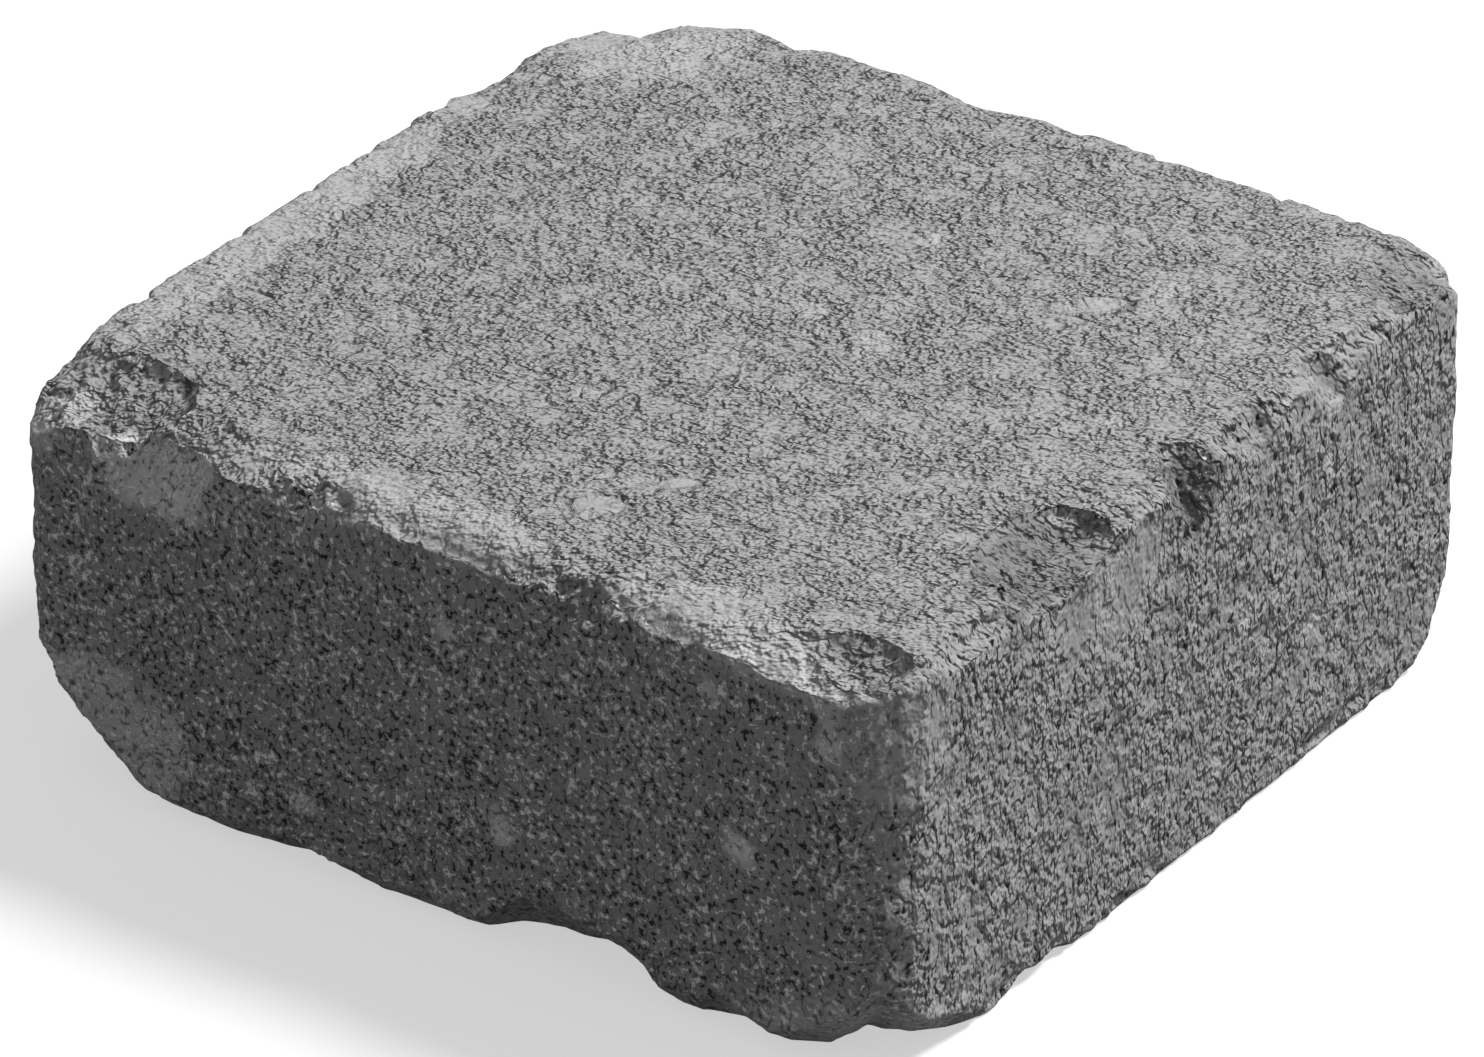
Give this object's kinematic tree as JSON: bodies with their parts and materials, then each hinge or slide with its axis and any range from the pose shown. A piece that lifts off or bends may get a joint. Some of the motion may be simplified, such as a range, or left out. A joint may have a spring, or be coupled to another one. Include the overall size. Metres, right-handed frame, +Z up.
{
  "type": "concrete paving stone",
  "caption": "Square tumbled concrete paving stone with worn, chipped arrises and rounded corners, for laying in a sand bed.",
  "frame": {"origin": "middle of the bed face, the face that the stone lies on", "axes": "+Z up, from the bed face to the wearing face; +X to the right along the length; -Y out of the front face"},
  "size_m": [0.14, 0.14, 0.06],
  "materials": {
    "concrete": "rough, sandy grey cast concrete"
  },
  "bodies": {
    "root": {"paving_stone": "concrete"}
  },
  "joints": []
}
